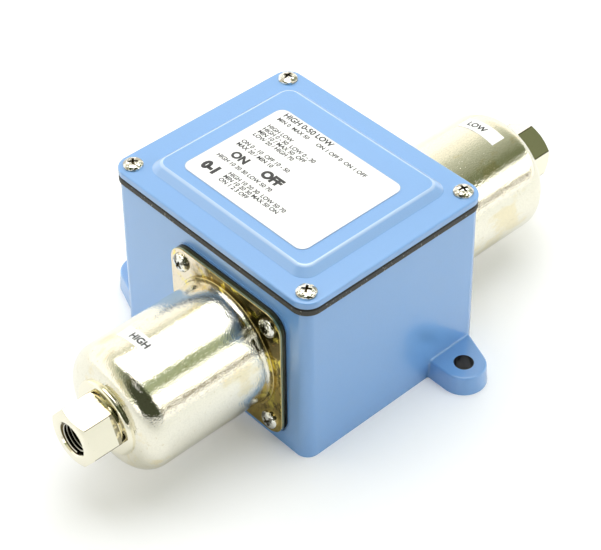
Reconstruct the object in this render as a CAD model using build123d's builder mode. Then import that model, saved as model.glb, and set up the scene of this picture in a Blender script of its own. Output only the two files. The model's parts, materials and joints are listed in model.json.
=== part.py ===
from build123d import *
from math import cos, hypot, radians, sin, tan
import os

# Sizes in millimetres. Z is up, the base is at Z = 0, the pressure axis runs along X.

# Plan outline shared by the housing base, the gasket and the cover
plan_x = 92.2
plan_y = 109.5
plan_corner = 7.0
housing_corner = 5.4

# Housing casting
housing_height = 73.7
draft = 0.97
wall = 3.5
floor = 4.5
cover_screw_x = 39.9
cover_screw_y = 48.5
corner_boss_radius = 4.5
corner_boss_length = 24.0

# Mounting ears, one at the front right and one at the back left
ear_x = 28.9
ear_y = 64.4
ear_tip_radius = 9.0
ear_height = 8.6
ear_hole_radius = 3.97
ear_root_x = 43.7
ear_root_y = 51.5
ear_root_depth = 2.2
ear_edge = 0.9
ear_draft = 5.0
ear_root_fillet = 0.8

# Screws with a number 8 thread
screw_radius = 2.05
tapped_radius = 2.08
clear_radius = 2.3
pan_radius = 4.0
pan_height = 2.1
pan_edge = 1.1
screw_end_gap = 1.0

# Gasket and cover
gasket_thickness = 3.2
gasket_ear_radius = 5.2
cover_thickness = 2.7
cover_edge = 0.7
plateau_x = 75.0
plateau_y = 89.0
plateau_height = 3.0
plateau_run = 3.5
plateau_corner = 6.8
plateau_top_corner = 4.4
plateau_lip = 1.4
pocket_margin = 5.0
pocket_depth = 3.0
pocket_corner = 4.0
pocket_draft = 10.0

# Nameplate on the plateau
name_x = 52.3
name_y = 67.6
name_shift_x = -3.05
name_shift_y = -0.7
name_corner = 4.0
name_thickness = 0.25

# Pressure axis and the square flanges around it
axis_y = -12.7
axis_z = 35.5
pad_face = 45.3
pad_root = 43.5
pad_margin = 0.8
flange_margin = 4.6
flange_corner = 8.0
flange_gasket_thickness = 0.8
adapter_thickness = 1.2
flange_thickness = 1.05
flange_screw_margin = 6.5
flange_boss_radius = 4.5
flange_boss_length = 9.0
rim_width = 1.2
rim_height = 1.0
rim_edge = 0.4
flange_edge = 0.3

# Cans
can_radius = 26.0
can_wall = 1.5
can_end = 105.4
knuckle = 9.1
flare = 0.4
flare_length = 2.2
fit_gap = 0.05

# Port fittings with a quarter inch tapered pipe thread
port_boss_radius = 15.6
port_boss_edge = 1.4
port_boss_height = 1.6
port_neck_radius = 9.5
port_neck_length = 3.5
port_groove_radius = 10.3
hex_inner = 107.5
hex_outer = 121.6
hex_flats = 22.0
hex_chamfer_radius = 10.6
hex_chamfer_reach = 2.9
hex_chamfer_angle = 30.0
hex_back_radius = 11.2
hex_back_reach = 2.3
port_bore_radius = 6.6
port_bore_depth = 14.6
port_sink = 0.83
port_passage_radius = 2.4
hex_turn = {"high": 68.5, "low": 95.2}

# Printed tags wrapped on the cans
tag_thickness = 0.15
tag_start = 66.0
tag_sweep = 43.0
tag_near = {"high": 84.0, "low": 87.2}
tag_far = {"high": 90.2, "low": 94.2}

# Bellows between the adapter plates and the rod heads
bellows_inner = 13.6
bellows_outer = 19.6
bellows_wall = 0.4
bellows_folds = 6
cuff_length = 3.0
head_face = 84.0
head_radius = 16.0
head_thickness = 3.0
head_hub_radius = 6.0
head_hub_length = 4.0

# Guide bushings in the side walls
wall_bore_radius = 12.0
seat_radius = 17.0
seat_face = 39.0
bushing_flange_radius = 14.5
bushing_flange_thickness = 2.0
vent_radius = 1.4
vent_ring = 7.5
vent_count = 3
adapter_bore = 10.5

# Push rod, its collar, the spring guide and the adjusting nut
rod_radius = 3.0
rod_fit = 0.05
rod_end = 90.0
collar_radius = 8.4
collar_thickness = 3.0
collar_face = 0.0
guide_radius = 4.5
guide_bore = 3.4
guide_start = 14.0
nut_face = 24.0
nut_length = 7.0
nut_flats = 14.0
nut_fit = 0.04
nut_chamfer = 0.6
coil_radius = 5.4
wire_radius = 0.7
coil_turns = 6.0

# Actuator lever on its pivot pin
lever_gap = 0.3
nose_radius = 1.2
nose_z = 43.1
pivot_z = 49.5
pivot_pin_radius = 1.5
pivot_fit = 0.05
lever_hub_radius = 3.0
lever_arm = 2.2
lever_reach = 8.0
lever_width = 6.0
pin_end_y = -16.6
pin_head_radius = 2.6
pin_head_thickness = 0.8
pin_head_gap = 0.1

# Snap switch
switch_length = 49.2
switch_width = 17.5
cover_clearance = 6.1
switch_base_z = 53.0
switch_start_x = -21.2
switch_edge = 0.8
plunger_radius = 2.0
plunger_reach = 2.0
plunger_depth = 5.0
plunger_fit = 0.05
fixing_spacing = 25.4
fixing_rise = 7.0
fixing_radius = 1.95
fixing_hole_radius = 2.0
fixing_head_radius = 3.4
fixing_head_height = 2.2
terminal_size = 7.0
terminal_thickness = 1.0
terminal_inset = 5.0
terminal_screw_radius = 1.5
terminal_head_radius = 2.8
terminal_head_height = 1.8
terminal_depth = 5.0

# Bracket that carries the switch and the lever
bracket_thickness = 2.0
bracket_start_x = -22.0
bracket_end_x = 29.0
bracket_drop = 2.0
foot_z = 6.5
foot_reach = 22.0
foot_bend = 3.0
foot_screw_y = 12.0
foot_screw_x = (-14.0, 20.0)
foot_boss_radius = 4.5
foot_hole_depth = 5.0
slot_length = 26.0
slot_height = 12.0
slot_z = 26.0

# Earth screw on the floor
earth_x = 27.0
earth_y = 34.0
earth_boss_height = 4.0
earth_hole_depth = 6.0

# Threaded cable entry in the back wall
entry_z = 36.0
entry_boss_radius = 15.0
entry_out_y = 55.6
entry_in_y = 40.0
entry_radius = 10.0
entry_sink = 1.0

# Derived sizes
gasket_top = housing_height + gasket_thickness
seat_plane = gasket_top + cover_thickness
plateau_top = seat_plane + plateau_height
cavity_top_x = plan_x - 2 * wall - 2 * housing_height * tan(radians(draft))
cavity_top_y = plan_y - 2 * wall - 2 * housing_height * tan(radians(draft))
gasket_inner_corner = plan_corner - wall
adapter_face = pad_face + flange_gasket_thickness
flange_face = adapter_face + adapter_thickness
flange_outer = flange_face + flange_thickness
can_root_radius = can_radius + flare
rim_radius = can_root_radius + rim_width
flange_size = 2 * (can_radius + flange_margin)
flange_screw_offset = flange_size / 2 - flange_screw_margin
rim_top = flange_outer + rim_height
flange_opening = can_root_radius + fit_gap
can_bore = can_radius - can_wall
knuckle_start = can_end - knuckle
knuckle_centre = can_radius - knuckle
pivot_x = collar_face + lever_gap + nose_radius
lever_drop = pivot_z - nose_z
plunger_x = pivot_x + lever_reach
plunger_tip_z = pivot_z + lever_arm / 2 + lever_gap
switch_y = axis_y
switch_top_z = gasket_top + pocket_depth - cover_clearance - terminal_head_height - terminal_thickness
switch_height = switch_top_z - switch_base_z
fixing_z = switch_base_z + fixing_rise
bracket_top_z = switch_top_z - bracket_drop
bracket_y = switch_y + switch_width / 2
sides = {"high": -1, "low": 1}
cover_screw_places = [
    (x, y) for x in (-cover_screw_x, cover_screw_x) for y in (-cover_screw_y, cover_screw_y)
]
flange_screw_places = [
    (x, y)
    for x in (-flange_screw_offset, flange_screw_offset)
    for y in (-flange_screw_offset, flange_screw_offset)
]
pressure_axis = Axis((0, axis_y, axis_z), (1, 0, 0))


def section_plane(side, angle=90.0):
    """Plane through the pressure axis: local X runs outward along it, local Y is the radius."""
    turn = radians(angle)
    normal = (0, -side * sin(turn), side * cos(turn))
    return Plane(origin=(0, axis_y, axis_z), x_dir=(side, 0, 0), z_dir=normal)


def cross_plane(side, distance):
    """Plane square to the pressure axis at a distance from the middle, facing outward."""
    return Plane(
        origin=(side * distance, axis_y, axis_z), x_dir=(0, side, 0), z_dir=(side, 0, 0)
    )


def profile_on(side, points):
    """Closed outline of (distance, radius) points, placed for turning about the axis."""
    with BuildSketch(section_plane(side)) as outline:
        with BuildLine():
            Polyline(*points, close=True)
        make_face()
    return outline.sketch


os.makedirs("parts", exist_ok=True)

# Housing: drafted box with two ears, corner bosses, side pads and a cable entry
with BuildPart() as housing:
    ear_spread = ear_height * tan(radians(ear_draft))
    for turn in (0, 180):
        with BuildSketch(Plane.XY.rotated((0, 0, turn))):
            with Locations((ear_x, -ear_y)):
                Circle(ear_tip_radius + ear_spread)
            root_near = ear_x - ear_tip_radius - ear_spread
            with Locations(((root_near + ear_root_x) / 2, -ear_root_y)):
                Rectangle(ear_root_x - root_near, ear_root_depth)
            make_hull()
        extrude(amount=ear_height, taper=ear_draft)
    fillet(housing.edges().group_by(Axis.Z)[-1], ear_edge)
    with BuildSketch(Plane.XY):
        RectangleRounded(plan_x, plan_y, housing_corner)
    extrude(amount=housing_height, taper=draft)
    wall_y = plan_y / 2 - ear_height * tan(radians(draft))
    at_ear_top = housing.edges().filter_by_position(Axis.Z, ear_height - fit_gap, ear_height + fit_gap)
    ear_roots = at_ear_top.filter_by(lambda edge: abs(abs(edge.center().Y) - wall_y) < fit_gap)
    fillet(ear_roots, ear_root_fillet)
    with BuildSketch(Plane.XY.offset(floor)):
        lost = 2 * floor * tan(radians(draft))
        RectangleRounded(plan_x - 2 * wall - lost, plan_y - 2 * wall - lost, plan_corner - wall)
    extrude(amount=housing_height - floor, taper=draft, mode=Mode.SUBTRACT)
    with BuildSketch(Plane.XY.offset(housing_height)):
        with Locations(*cover_screw_places):
            Circle(corner_boss_radius)
    extrude(amount=-corner_boss_length)
    with BuildSketch(Plane.XY.offset(housing_height)):
        with Locations(*cover_screw_places):
            Circle(tapped_radius)
    extrude(amount=-(corner_boss_length - wall), mode=Mode.SUBTRACT)
    for side in sides.values():
        with BuildSketch(cross_plane(side, pad_root)):
            RectangleRounded(
                flange_size + 2 * pad_margin,
                flange_size + 2 * pad_margin,
                flange_corner + pad_margin,
            )
        extrude(amount=pad_face - pad_root)
        with BuildSketch(cross_plane(side, pad_face)):
            RectangleRounded(
                flange_size + 2 * pad_margin,
                flange_size + 2 * pad_margin,
                flange_corner + pad_margin,
            )
        extrude(amount=wall, mode=Mode.SUBTRACT)
        with BuildSketch(cross_plane(side, seat_face)):
            Circle(seat_radius)
        extrude(amount=pad_root - seat_face)
        with BuildSketch(cross_plane(side, pad_face - flange_boss_length)):
            with Locations(*flange_screw_places):
                Circle(flange_boss_radius)
        extrude(amount=pad_root - pad_face + flange_boss_length)
        with BuildSketch(cross_plane(side, seat_face)):
            Circle(wall_bore_radius)
        extrude(amount=pad_face - seat_face, mode=Mode.SUBTRACT)
        with BuildSketch(cross_plane(side, pad_face)):
            with Locations(*flange_screw_places):
                Circle(tapped_radius)
        extrude(amount=-(flange_boss_length - screw_end_gap), mode=Mode.SUBTRACT)
    with BuildSketch(Plane.XZ.offset(-entry_out_y)):
        with Locations((0, entry_z)):
            Circle(entry_boss_radius)
    extrude(amount=entry_out_y - entry_in_y)
    with BuildSketch(Plane.XZ.offset(-entry_out_y)):
        with Locations((0, entry_z)):
            Circle(entry_radius)
    extrude(amount=entry_out_y - entry_in_y, mode=Mode.SUBTRACT)
    with BuildSketch(Plane.YZ):
        with BuildLine():
            Polyline(
                (entry_out_y, entry_z),
                (entry_out_y, entry_z + entry_radius + entry_sink),
                (entry_out_y - entry_sink, entry_z + entry_radius),
                (entry_out_y - entry_sink, entry_z),
                close=True,
            )
        make_face()
    revolve(axis=Axis((0, 0, entry_z), (0, 1, 0)), mode=Mode.SUBTRACT)
    with BuildSketch(Plane.XY.offset(floor)):
        with Locations(*[(x, foot_screw_y) for x in foot_screw_x]):
            Circle(foot_boss_radius)
    extrude(amount=foot_z - floor)
    with BuildSketch(Plane.XY.offset(foot_z)):
        with Locations(*[(x, foot_screw_y) for x in foot_screw_x]):
            Circle(tapped_radius)
    extrude(amount=-foot_hole_depth, mode=Mode.SUBTRACT)
    with BuildSketch(Plane.XY.offset(floor)):
        with Locations((earth_x, earth_y)):
            Circle(foot_boss_radius)
    extrude(amount=earth_boss_height)
    with BuildSketch(Plane.XY.offset(floor + earth_boss_height)):
        with Locations((earth_x, earth_y)):
            Circle(tapped_radius)
    extrude(amount=-earth_hole_depth, mode=Mode.SUBTRACT)
    with BuildSketch(Plane.XY):
        with Locations((ear_x, -ear_y), (-ear_x, ear_y)):
            Circle(ear_hole_radius)
    extrude(amount=ear_height, mode=Mode.SUBTRACT)
housing.part.label = "housing"
export_step(housing.part, "parts/housing.step")

# Cover gasket: frame with an ear around each screw
with BuildPart() as cover_gasket:
    with BuildSketch(Plane.XY.offset(housing_height)):
        RectangleRounded(plan_x, plan_y, plan_corner)
        RectangleRounded(cavity_top_x, cavity_top_y, gasket_inner_corner, mode=Mode.SUBTRACT)
        with Locations(*cover_screw_places):
            Circle(gasket_ear_radius)
        with Locations(*cover_screw_places):
            Circle(clear_radius, mode=Mode.SUBTRACT)
    extrude(amount=gasket_thickness)
cover_gasket.part.label = "cover_gasket"
export_step(cover_gasket.part, "parts/cover_gasket.step")

# Cover: plate with a sloped plateau, hollow below
with BuildPart() as cover:
    with BuildSketch(Plane.XY.offset(gasket_top)):
        RectangleRounded(plan_x, plan_y, plan_corner)
    extrude(amount=cover_thickness)
    fillet(cover.edges().group_by(Axis.Z)[-1], cover_edge)
    with BuildSketch(Plane.XY.offset(seat_plane)):
        RectangleRounded(plateau_x, plateau_y, plateau_corner)
    with BuildSketch(Plane.XY.offset(plateau_top)):
        RectangleRounded(
            plateau_x - 2 * plateau_run, plateau_y - 2 * plateau_run, plateau_top_corner
        )
    loft()
    fillet(cover.edges().group_by(Axis.Z)[-1], plateau_lip)
    with BuildSketch(Plane.XY.offset(gasket_top)):
        RectangleRounded(
            plateau_x - 2 * pocket_margin, plateau_y - 2 * pocket_margin, pocket_corner
        )
    extrude(amount=pocket_depth, taper=pocket_draft, mode=Mode.SUBTRACT)
    with BuildSketch(Plane.XY.offset(gasket_top)):
        with Locations(*cover_screw_places):
            Circle(clear_radius)
    extrude(amount=cover_thickness, mode=Mode.SUBTRACT)
cover.part.label = "cover"
export_step(cover.part, "parts/cover.step")

# Cover screws: four pan heads as one node
with BuildPart() as cover_screws:
    with BuildSketch(Plane.XY.offset(seat_plane)):
        with Locations(*cover_screw_places):
            Circle(pan_radius)
    extrude(amount=pan_height)
    fillet(cover_screws.edges().group_by(Axis.Z)[-1], pan_edge)
    with BuildSketch(Plane.XY.offset(seat_plane)):
        with Locations(*cover_screw_places):
            Circle(screw_radius)
    extrude(
        amount=-(cover_thickness + gasket_thickness + corner_boss_length - wall - screw_end_gap)
    )
cover_screws.part.label = "cover_screws"
export_step(cover_screws.part, "parts/cover_screws.step")

# Nameplate: thin rounded sheet on the plateau
with BuildPart() as nameplate:
    with BuildSketch(Plane.XY.offset(plateau_top)):
        with Locations((name_shift_x, name_shift_y)):
            RectangleRounded(name_x, name_y, name_corner)
    extrude(amount=name_thickness)
nameplate.part.label = "nameplate"
export_step(nameplate.part, "parts/nameplate.step")

for name, side in sides.items():
    # Flange gasket with the outline of the plates
    with BuildPart() as flange_gasket:
        with BuildSketch(cross_plane(side, pad_face)):
            RectangleRounded(flange_size, flange_size, flange_corner)
            Circle(wall_bore_radius + fit_gap, mode=Mode.SUBTRACT)
            with Locations(*flange_screw_places):
                Circle(clear_radius, mode=Mode.SUBTRACT)
        extrude(amount=flange_gasket_thickness)
    flange_gasket.part.label = f"{name}_flange_gasket"
    export_step(flange_gasket.part, f"parts/{name}_flange_gasket.step")

    # Adapter plate that the bellows is brazed to
    with BuildPart() as adapter_plate:
        with BuildSketch(cross_plane(side, adapter_face)):
            RectangleRounded(flange_size, flange_size, flange_corner)
            Circle(adapter_bore, mode=Mode.SUBTRACT)
            with Locations(*flange_screw_places):
                Circle(clear_radius, mode=Mode.SUBTRACT)
        extrude(amount=adapter_thickness)
    adapter_plate.part.label = f"{name}_adapter_plate"
    export_step(adapter_plate.part, f"parts/{name}_adapter_plate.step")

    # Flange plate with a raised rim around the can
    with BuildPart() as flange_plate:
        with BuildSketch(cross_plane(side, flange_face)):
            RectangleRounded(flange_size, flange_size, flange_corner)
        extrude(amount=flange_thickness)
        fillet(flange_plate.edges().group_by(Axis.X)[-1 if side > 0 else 0], flange_edge)
        with BuildSketch(cross_plane(side, flange_outer)):
            Circle(rim_radius)
        extrude(amount=rim_height)
        fillet(flange_plate.edges().group_by(Axis.X)[-1 if side > 0 else 0], rim_edge)
        with BuildSketch(cross_plane(side, flange_face)):
            Circle(flange_opening)
            with Locations(*flange_screw_places):
                Circle(clear_radius)
        extrude(amount=flange_thickness + rim_height, mode=Mode.SUBTRACT)
    flange_plate.part.label = f"{name}_flange_plate"
    export_step(flange_plate.part, f"parts/{name}_flange_plate.step")

    # Flange screws: four pan heads as one node
    with BuildPart() as flange_screws:
        with BuildSketch(cross_plane(side, flange_outer)):
            with Locations(*flange_screw_places):
                Circle(pan_radius)
        extrude(amount=pan_height)
        fillet(flange_screws.edges().group_by(Axis.X)[-1 if side > 0 else 0], pan_edge)
        with BuildSketch(cross_plane(side, flange_outer)):
            with Locations(*flange_screw_places):
                Circle(screw_radius)
        extrude(amount=-(flange_outer - pad_face + flange_boss_length - 2 * screw_end_gap))
    flange_screws.part.label = f"{name}_flange_screws"
    export_step(flange_screws.part, f"parts/{name}_flange_screws.step")

    # Can: drawn cup with a flared root and a rounded end
    with BuildPart() as can:
        with BuildSketch(section_plane(side)):
            with BuildLine():
                Polyline(
                    (knuckle_start, can_bore),
                    (flange_face, can_bore),
                    (flange_face, can_root_radius),
                    (rim_top, can_root_radius),
                    (rim_top + flare_length, can_radius),
                    (knuckle_start, can_radius),
                )
                RadiusArc((knuckle_start, can_radius), (can_end, knuckle_centre), knuckle)
                Polyline(
                    (can_end, knuckle_centre),
                    (can_end, port_neck_radius + fit_gap),
                    (can_end - can_wall, port_neck_radius + fit_gap),
                    (can_end - can_wall, knuckle_centre),
                )
                RadiusArc(
                    (can_end - can_wall, knuckle_centre),
                    (knuckle_start, can_bore),
                    -(knuckle - can_wall),
                )
            make_face()
        revolve(axis=pressure_axis)
    can.part.label = f"{name}_can"
    export_step(can.part, f"parts/{name}_can.step")

    # Port fitting: turned boss and chamfered hexagon with a stepped bore
    with BuildPart() as port_fitting:
        with BuildSketch(cross_plane(side, can_end)):
            Circle(port_boss_radius)
        extrude(amount=port_boss_height)
        fillet(port_fitting.edges().group_by(Axis.X)[-1 if side > 0 else 0], port_boss_edge)
        with BuildSketch(cross_plane(side, can_end - port_neck_length)):
            Circle(port_neck_radius)
        extrude(amount=port_neck_length)
        with BuildSketch(cross_plane(side, can_end)):
            Circle(port_groove_radius)
        extrude(amount=hex_inner - can_end)
        with BuildSketch(cross_plane(side, hex_inner)):
            turn = hex_turn[name] if side > 0 else 180 - hex_turn[name]
            RegularPolygon(hex_flats / 2, 6, major_radius=False, rotation=turn)
        extrude(amount=hex_outer - hex_inner)
        chamfer_drop = hex_chamfer_reach * tan(radians(hex_chamfer_angle))
        add(
            profile_on(
                side,
                [
                    (hex_outer, hex_chamfer_radius),
                    (hex_outer, hex_chamfer_radius + hex_chamfer_reach),
                    (hex_outer - chamfer_drop, hex_chamfer_radius + hex_chamfer_reach),
                ],
            )
        )
        revolve(axis=pressure_axis, mode=Mode.SUBTRACT)
        back_drop = hex_back_reach * tan(radians(hex_chamfer_angle))
        add(
            profile_on(
                side,
                [
                    (hex_inner, hex_back_radius),
                    (hex_inner, hex_back_radius + hex_back_reach),
                    (hex_inner + back_drop, hex_back_radius + hex_back_reach),
                ],
            )
        )
        revolve(axis=pressure_axis, mode=Mode.SUBTRACT)
        add(
            profile_on(
                side,
                [
                    (can_end - port_neck_length, 0),
                    (can_end - port_neck_length, port_passage_radius),
                    (hex_outer - port_bore_depth, port_passage_radius),
                    (hex_outer - port_bore_depth, port_bore_radius),
                    (hex_outer - port_sink, port_bore_radius),
                    (hex_outer, port_bore_radius + port_sink),
                    (hex_outer, 0),
                ],
            )
        )
        revolve(axis=pressure_axis, mode=Mode.SUBTRACT)
    port_fitting.part.label = f"{name}_port_fitting"
    export_step(port_fitting.part, f"parts/{name}_port_fitting.step")

    # Printed tag bent round the can
    with BuildPart() as tag:
        with BuildSketch(section_plane(side, tag_start)):
            with BuildLine():
                Polyline(
                    (tag_near[name], can_radius),
                    (tag_far[name], can_radius),
                    (tag_far[name], can_radius + tag_thickness),
                    (tag_near[name], can_radius + tag_thickness),
                    close=True,
                )
            make_face()
        revolve(axis=pressure_axis, revolution_arc=tag_sweep)
    tag.part.label = f"{name}_tag"
    export_step(tag.part, f"parts/{name}_tag.step")

    # Bellows: thin folded tube between two cuffs
    with BuildPart() as bellows:
        fold_start = flange_face + cuff_length
        fold_pitch = (head_face - cuff_length - fold_start) / bellows_folds
        slant = hypot(fold_pitch / 2, bellows_outer - bellows_inner)
        shift = bellows_wall * slant / (fold_pitch / 2)
        outer_line = [(flange_face, bellows_inner), (fold_start, bellows_inner)]
        for fold in range(bellows_folds):
            outer_line += [
                (fold_start + (fold + 0.5) * fold_pitch, bellows_outer),
                (fold_start + (fold + 1) * fold_pitch, bellows_inner),
            ]
        outer_line.append((head_face, bellows_inner))
        inner_line = [(flange_face, bellows_inner - bellows_wall)]
        inner_line.append((fold_start, bellows_inner - bellows_wall))
        for fold in range(bellows_folds):
            inner_line += [
                (fold_start + (fold + 0.5) * fold_pitch, bellows_outer - shift),
                (fold_start + (fold + 1) * fold_pitch, bellows_inner - bellows_wall),
            ]
        inner_line.append((head_face, bellows_inner - bellows_wall))
        add(profile_on(side, outer_line + inner_line[::-1]))
        revolve(axis=pressure_axis)
    bellows.part.label = f"{name}_bellows"
    export_step(bellows.part, f"parts/{name}_bellows.step")

    # Bellows head: disc with a hub, blind bored for the rod
    with BuildPart() as bellows_head:
        add(
            profile_on(
                side,
                [
                    (head_face, rod_radius),
                    (head_face, head_radius),
                    (head_face + head_thickness, head_radius),
                    (head_face + head_thickness, head_hub_radius),
                    (head_face + head_thickness + head_hub_length, head_hub_radius),
                    (head_face + head_thickness + head_hub_length, 0),
                    (rod_end, 0),
                    (rod_end, rod_radius),
                ],
            )
        )
        revolve(axis=pressure_axis)
    bellows_head.part.label = f"{name}_bellows_head"
    export_step(bellows_head.part, f"parts/{name}_bellows_head.step")

    # Guide bushing: flanged plug with a running bore and vent holes
    with BuildPart() as guide_bushing:
        add(
            profile_on(
                side,
                [
                    (seat_face - bushing_flange_thickness, rod_radius + rod_fit),
                    (seat_face - bushing_flange_thickness, bushing_flange_radius),
                    (seat_face, bushing_flange_radius),
                    (seat_face, wall_bore_radius),
                    (adapter_face, wall_bore_radius),
                    (adapter_face, rod_radius + rod_fit),
                ],
            )
        )
        revolve(axis=pressure_axis)
        with BuildSketch(cross_plane(side, seat_face - bushing_flange_thickness)):
            with PolarLocations(vent_ring, vent_count, start_angle=90):
                Circle(vent_radius)
        extrude(
            amount=adapter_face - seat_face + bushing_flange_thickness, mode=Mode.SUBTRACT
        )
    guide_bushing.part.label = f"{name}_guide_bushing"
    export_step(guide_bushing.part, f"parts/{name}_guide_bushing.step")

# Push rod with its collar
with BuildPart() as push_rod:
    add(
        profile_on(
            1,
            [
                (-rod_end, 0),
                (-rod_end, rod_radius),
                (collar_face - collar_thickness, rod_radius),
                (collar_face - collar_thickness, collar_radius),
                (collar_face, collar_radius),
                (collar_face, rod_radius),
                (rod_end, rod_radius),
                (rod_end, 0),
            ],
        )
    )
    revolve(axis=pressure_axis)
push_rod.part.label = "push_rod"
export_step(push_rod.part, "parts/push_rod.step")

# Range spring: round wire coil between the collar and the adjusting nut
with BuildPart() as range_spring:
    coil_length = nut_face - collar_face - 2 * wire_radius
    with BuildLine() as coil:
        Helix(
            pitch=coil_length / coil_turns,
            height=coil_length,
            radius=coil_radius,
            center=(collar_face + wire_radius, axis_y, axis_z),
            direction=(1, 0, 0),
        )
    with BuildSketch(Plane(origin=coil.line @ 0, z_dir=coil.line % 0)):
        Circle(wire_radius)
    sweep(path=coil.line, is_frenet=True)
range_spring.part.label = "range_spring"
export_step(range_spring.part, "parts/range_spring.step")

# Spring guide: sleeve around the rod, on the inner face of a bushing
with BuildPart() as spring_guide:
    add(
        profile_on(
            1,
            [
                (guide_start, guide_bore),
                (guide_start, guide_radius),
                (seat_face - bushing_flange_thickness, guide_radius),
                (seat_face - bushing_flange_thickness, guide_bore),
            ],
        )
    )
    revolve(axis=pressure_axis)
spring_guide.part.label = "spring_guide"
export_step(spring_guide.part, "parts/spring_guide.step")

# Adjusting nut: hexagon on the spring guide
with BuildPart() as adjusting_nut:
    with BuildSketch(cross_plane(1, nut_face)):
        RegularPolygon(nut_flats / 2, 6, major_radius=False)
    extrude(amount=nut_length)
    chamfer(adjusting_nut.edges().group_by(Axis.X)[0], nut_chamfer)
    with BuildSketch(cross_plane(1, nut_face)):
        Circle(guide_radius + nut_fit)
    extrude(amount=nut_length, mode=Mode.SUBTRACT)
adjusting_nut.part.label = "adjusting_nut"
export_step(adjusting_nut.part, "parts/adjusting_nut.step")

# Actuator lever: bell crank with a rounded nose on the lower arm
with BuildPart() as actuator_lever:
    with BuildSketch(Plane.XZ.offset(-(axis_y + lever_width / 2))):
        with Locations((pivot_x, (pivot_z + nose_z) / 2)):
            Rectangle(lever_arm, lever_drop)
        with Locations((pivot_x + lever_reach / 2, pivot_z)):
            Rectangle(lever_reach, lever_arm)
        with Locations((pivot_x, nose_z)):
            Circle(nose_radius)
        with Locations((pivot_x + lever_reach, pivot_z)):
            Circle(lever_arm / 2)
        with Locations((pivot_x, pivot_z)):
            Circle(lever_hub_radius)
            Circle(pivot_pin_radius + pivot_fit, mode=Mode.SUBTRACT)
    extrude(amount=lever_width)
actuator_lever.part.label = "actuator_lever"
export_step(actuator_lever.part, "parts/actuator_lever.step")

# Pivot pin: headed pin held in the bracket
with BuildPart() as pivot_pin:
    with BuildSketch(Plane.XZ.offset(-(bracket_y + bracket_thickness))):
        with Locations((pivot_x, pivot_z)):
            Circle(pivot_pin_radius)
    extrude(amount=bracket_y + bracket_thickness - pin_end_y)
    with BuildSketch(Plane.XZ.offset(-(axis_y - lever_width / 2 - pin_head_gap))):
        with Locations((pivot_x, pivot_z)):
            Circle(pin_head_radius)
    extrude(amount=pin_head_thickness)
pivot_pin.part.label = "pivot_pin"
export_step(pivot_pin.part, "parts/pivot_pin.step")

# Snap switch body with two cross holes and a plunger hole
with BuildPart() as switch_body:
    with BuildSketch(Plane.XY.offset(switch_base_z)):
        with Locations((switch_start_x + switch_length / 2, switch_y)):
            Rectangle(switch_length, switch_width)
    extrude(amount=switch_height)
    fillet(switch_body.edges().filter_by(Axis.Z), switch_edge)
    fixing_x = [switch_start_x + (switch_length + end * fixing_spacing) / 2 for end in (-1, 1)]
    with BuildSketch(Plane.XZ.offset(-bracket_y)):
        with Locations(*[(x, fixing_z) for x in fixing_x]):
            Circle(fixing_hole_radius)
    extrude(amount=switch_width, mode=Mode.SUBTRACT)
    with BuildSketch(Plane.XY.offset(switch_base_z)):
        with Locations((plunger_x, switch_y)):
            Circle(plunger_radius + plunger_fit)
    extrude(amount=plunger_depth, mode=Mode.SUBTRACT)
    terminal_x = (
        switch_start_x + terminal_inset,
        switch_start_x + switch_length / 2,
        switch_start_x + switch_length - terminal_inset,
    )
    with BuildSketch(Plane.XY.offset(switch_base_z + switch_height)):
        with Locations(*[(x, switch_y) for x in terminal_x]):
            Circle(terminal_screw_radius)
    extrude(amount=-terminal_depth, mode=Mode.SUBTRACT)
switch_body.part.label = "switch_body"
export_step(switch_body.part, "parts/switch_body.step")

# Switch plunger: pin with a rounded tip below the body
with BuildPart() as switch_plunger:
    with BuildSketch(Plane.XY.offset(plunger_tip_z)):
        with Locations((plunger_x, switch_y)):
            Circle(plunger_radius)
    extrude(amount=switch_base_z + plunger_reach - plunger_tip_z)
    fillet(switch_plunger.edges().group_by(Axis.Z)[0], nose_radius)
switch_plunger.part.label = "switch_plunger"
export_step(switch_plunger.part, "parts/switch_plunger.step")

# Switch terminals: three plates on the top of the body
with BuildPart() as switch_terminals:
    with BuildSketch(Plane.XY.offset(switch_base_z + switch_height)):
        with Locations(*[(x, switch_y) for x in terminal_x]):
            Rectangle(terminal_size, terminal_size)
            Circle(terminal_screw_radius, mode=Mode.SUBTRACT)
    extrude(amount=terminal_thickness)
switch_terminals.part.label = "switch_terminals"
export_step(switch_terminals.part, "parts/switch_terminals.step")

# Terminal screws: three as one node
with BuildPart() as terminal_screws:
    terminal_seat = switch_base_z + switch_height + terminal_thickness
    with BuildSketch(Plane.XY.offset(terminal_seat)):
        with Locations(*[(x, switch_y) for x in terminal_x]):
            Circle(terminal_head_radius)
    extrude(amount=terminal_head_height)
    with BuildSketch(Plane.XY.offset(terminal_seat)):
        with Locations(*[(x, switch_y) for x in terminal_x]):
            Circle(terminal_screw_radius)
    extrude(amount=-(terminal_thickness + terminal_depth))
terminal_screws.part.label = "terminal_screws"
export_step(terminal_screws.part, "parts/terminal_screws.step")

# Switch fixing screws: two as one node, through the body into the bracket
with BuildPart() as fixing_screws:
    with BuildSketch(Plane.XZ.offset(-(bracket_y - switch_width))):
        with Locations(*[(x, fixing_z) for x in fixing_x]):
            Circle(fixing_head_radius)
    extrude(amount=fixing_head_height)
    with BuildSketch(Plane.XZ.offset(-(bracket_y - switch_width))):
        with Locations(*[(x, fixing_z) for x in fixing_x]):
            Circle(fixing_radius)
    extrude(amount=-(switch_width + bracket_thickness))
fixing_screws.part.label = "fixing_screws"
export_step(fixing_screws.part, "parts/fixing_screws.step")

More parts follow.
